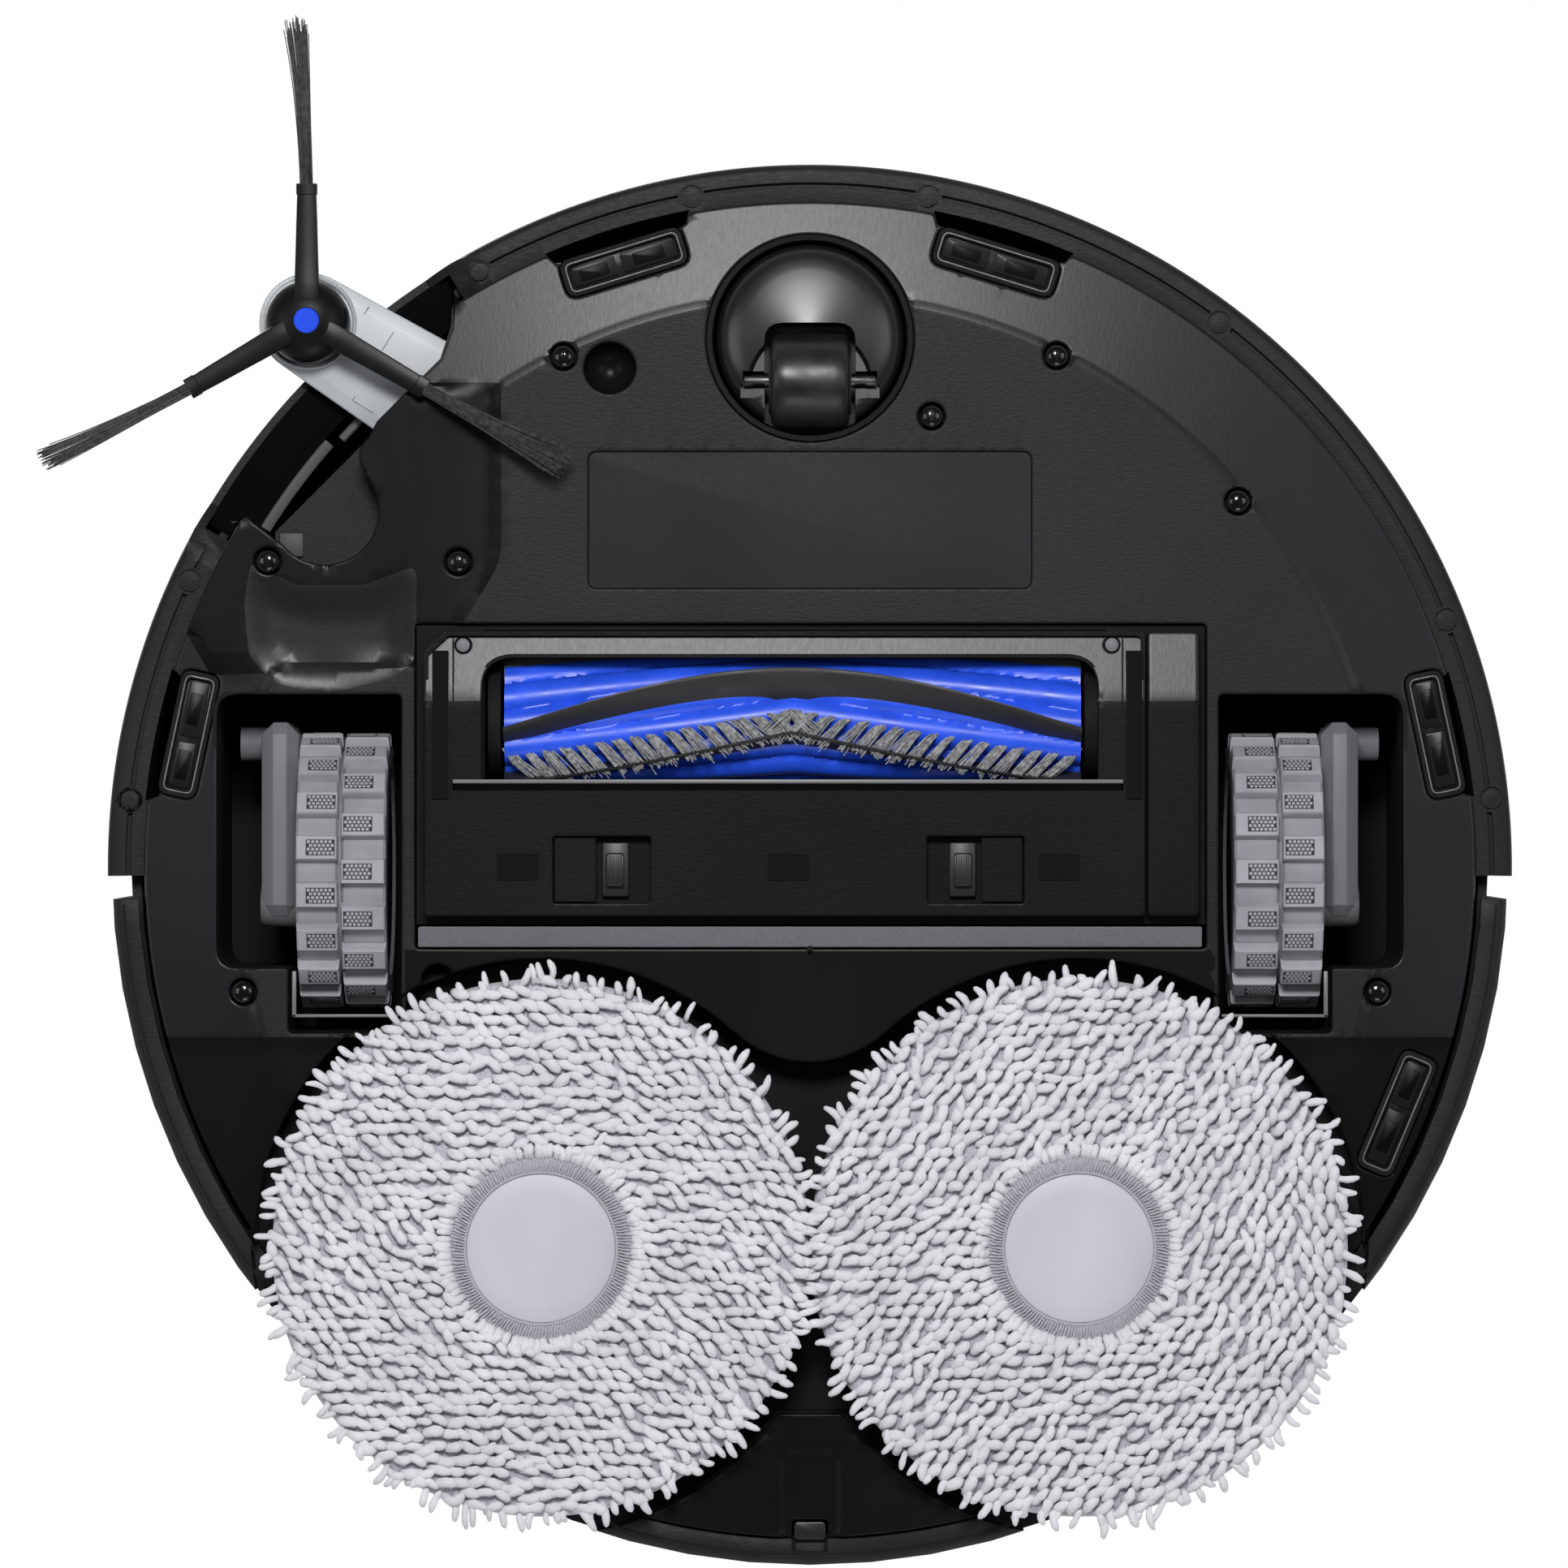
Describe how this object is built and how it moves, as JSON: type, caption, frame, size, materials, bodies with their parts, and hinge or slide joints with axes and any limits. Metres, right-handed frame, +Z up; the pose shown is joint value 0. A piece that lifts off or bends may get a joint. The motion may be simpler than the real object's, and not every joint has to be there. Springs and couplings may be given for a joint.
{
  "type": "robot vacuum",
  "caption": "Round floor-cleaning robot with a ribbed roller brush, an extending side brush, drive wheels, a caster and spinning mop pads.",
  "frame": {"origin": "middle of the base of the bounding box, on the floor plane that the wheels, caster and mop pads stand on; the axis of the round body is at x = 8.7 mm, y = 18.6 mm", "axes": "+Z up; -Y is the robot's front, where the bumper and caster are; -X is its own right, the side of the extending side brush"},
  "size_m": [0.3702, 0.3877, 0.102],
  "materials": {
    "black_shell": "fine grained satin black",
    "black_gloss": "polished black",
    "grey_plastic": "satin mid grey",
    "arm_grey": "satin light grey",
    "blue_rubber": "smooth blue rubber",
    "black_rubber": "matt black rubber",
    "tyre_grey": "matt dark grey rubber",
    "strip_grey": "matt grey soft strip",
    "bristle": "fine nylon bristle",
    "mop_cloth": "fluffy chenille microfibre",
    "mop_plastic": "satin pale lavender",
    "clear_smoke": "smoked clear plastic",
    "steel": "ground steel"
  },
  "bodies": {
    "chassis": {"chassis_pan": "black_shell", "label_plate": "black_shell", "rear_panel": "black_shell", "body_deck": "black_shell", "body_wall": "black_shell", "mop_bay": "black_shell", "brush_housing": "black_shell", "brush_gearbox": "black_shell", "caster_socket": "black_shell", "cliff_window_1": "clear_smoke", "cliff_window_2": "clear_smoke", "cliff_window_3": "clear_smoke", "cliff_window_4": "clear_smoke", "cliff_window_5": "clear_smoke", "pan_screw_1": "black_gloss", "pan_screw_2": "black_gloss", "pan_screw_3": "black_gloss", "pan_screw_4": "black_gloss", "pan_screw_5": "black_gloss", "pan_screw_6": "black_gloss", "pan_screw_7": "black_gloss", "pan_screw_8": "black_gloss", "wiper_strip": "strip_grey", "battery_pack": "black_rubber", "fan_unit": "black_gloss", "water_tank": "clear_smoke", "dust_box": "clear_smoke", "dust_box_lid": "black_gloss", "dust_filter": "mop_cloth", "lidar_window": "clear_smoke", "lidar_cap": "black_gloss"},
    "bumper": {"bumper_shell": "black_shell"},
    "right_arm": {"right_drive_housing": "grey_plastic"},
    "left_arm": {"left_drive_housing": "grey_plastic"},
    "right_wheel": {"right_wheel_hub": "black_gloss", "right_tyre": "tyre_grey"},
    "left_wheel": {"left_wheel_hub": "black_gloss", "left_tyre": "tyre_grey"},
    "caster_fork": {"caster_swivel": "black_gloss", "caster_axle": "steel"},
    "caster_roller": {"caster_wheel": "black_rubber"},
    "roller_brush": {"brush_core": "blue_rubber", "brush_cap_right": "black_shell", "brush_cap_left": "black_shell"},
    "roller_cover": {"brush_cover": "black_shell"},
    "right_latch": {"latch_right": "grey_plastic"},
    "left_latch": {"latch_left": "grey_plastic"},
    "swing_arm": {"side_arm": "arm_grey"},
    "side_brush": {"side_brush_hub": "black_rubber", "side_brush_tuft_1": "bristle", "side_brush_tuft_2": "bristle", "side_brush_tuft_3": "bristle"},
    "mop_lift": {"mop_carriage": "grey_plastic"},
    "right_mop": {"right_mop_plate": "mop_plastic", "right_mop_pad": "mop_cloth"},
    "left_mop": {"left_mop_plate": "mop_plastic", "left_mop_pad": "mop_cloth"},
    "lid": {"top_cover": "black_shell"},
    "button": {"power_button": "grey_plastic"},
    "lidar": {"lidar_rotor": "black_gloss"}
  },
  "joints": [
    {"name": "bumper_press", "type": "slide", "parent": "chassis", "child": "bumper", "axis": [0, 1, 0], "range_m": [0, 0.003], "stiffness_N_per_m": 600, "springref_m": -0.002},
    {"name": "right_suspension", "type": "hinge", "parent": "chassis", "child": "right_arm", "pos_m": [-0.1245, -0.0124, 0.038], "axis": [-1, 0, 0], "range_deg": [0, 30]},
    {"name": "left_suspension", "type": "hinge", "parent": "chassis", "child": "left_arm", "pos_m": [0.1419, -0.0124, 0.038], "axis": [-1, 0, 0], "range_deg": [0, 30]},
    {"name": "right_wheel_spin", "type": "hinge", "parent": "right_arm", "child": "right_wheel", "pos_m": [-0.1085, 0.0196, 0.0348], "axis": [1, 0, 0], "continuous": true},
    {"name": "left_wheel_spin", "type": "hinge", "parent": "left_arm", "child": "left_wheel", "pos_m": [0.1259, 0.0196, 0.0348], "axis": [1, 0, 0], "continuous": true},
    {"name": "caster_swivel_turn", "type": "hinge", "parent": "chassis", "child": "caster_fork", "pos_m": [0.0087, -0.1138, 0.031], "axis": [0, 0, 1], "continuous": true},
    {"name": "caster_roll", "type": "hinge", "parent": "caster_fork", "child": "caster_roller", "pos_m": [0.0087, -0.1032, 0.0118], "axis": [1, 0, 0], "continuous": true},
    {"name": "roller_spin", "type": "hinge", "parent": "chassis", "child": "roller_brush", "pos_m": [0.0042, -0.0185, 0.0225], "axis": [1, 0, 0], "continuous": true},
    {"name": "roller_cover_open", "type": "hinge", "parent": "chassis", "child": "roller_cover", "pos_m": [0.00235, -0.0405, 0.0118], "axis": [-1, 0, 0], "range_deg": [0, 40]},
    {"name": "right_latch_slide", "type": "slide", "parent": "roller_cover", "child": "right_latch", "axis": [1, 0, 0], "range_m": [0, 0.0055], "stiffness_N_per_m": 150, "springref_m": -0.001},
    {"name": "left_latch_slide", "type": "slide", "parent": "roller_cover", "child": "left_latch", "axis": [-1, 0, 0], "range_m": [0, 0.0055], "stiffness_N_per_m": 150, "springref_m": -0.001},
    {"name": "swing_arm_retract", "type": "hinge", "parent": "chassis", "child": "swing_arm", "pos_m": [-0.0848, -0.0979, 0.0175], "axis": [0, 0, 1], "range_deg": [-76, 0]},
    {"name": "side_brush_spin", "type": "hinge", "parent": "swing_arm", "child": "side_brush", "pos_m": [-0.117, -0.1179, 0.0172], "axis": [0, 0, 1], "continuous": true},
    {"name": "mop_raise", "type": "slide", "parent": "chassis", "child": "mop_lift", "axis": [0, 0, 1], "range_m": [0, 0.01]},
    {"name": "right_mop_spin", "type": "hinge", "parent": "mop_lift", "child": "right_mop", "pos_m": [-0.0584, 0.1136, 0.0337], "axis": [0, 0, 1], "continuous": true},
    {"name": "left_mop_spin", "type": "hinge", "parent": "mop_lift", "child": "left_mop", "pos_m": [0.0758, 0.1136, 0.0337], "axis": [0, 0, 1], "continuous": true},
    {"name": "lid_lift", "type": "slide", "parent": "chassis", "child": "lid", "axis": [0, 0, 1], "range_m": [0, 0.03]},
    {"name": "button_press", "type": "slide", "parent": "chassis", "child": "button", "axis": [0, 0, -1], "range_m": [0, 0.001], "stiffness_N_per_m": 600, "springref_m": -0.0005},
    {"name": "lidar_spin", "type": "hinge", "parent": "chassis", "child": "lidar", "pos_m": [0.0087, 0.0966, 0.0872], "axis": [0, 0, 1], "continuous": true}
  ],
  "couplings": [
    {"joint": "left_mop_spin", "follows": "right_mop_spin", "ratio": -1}
  ]
}
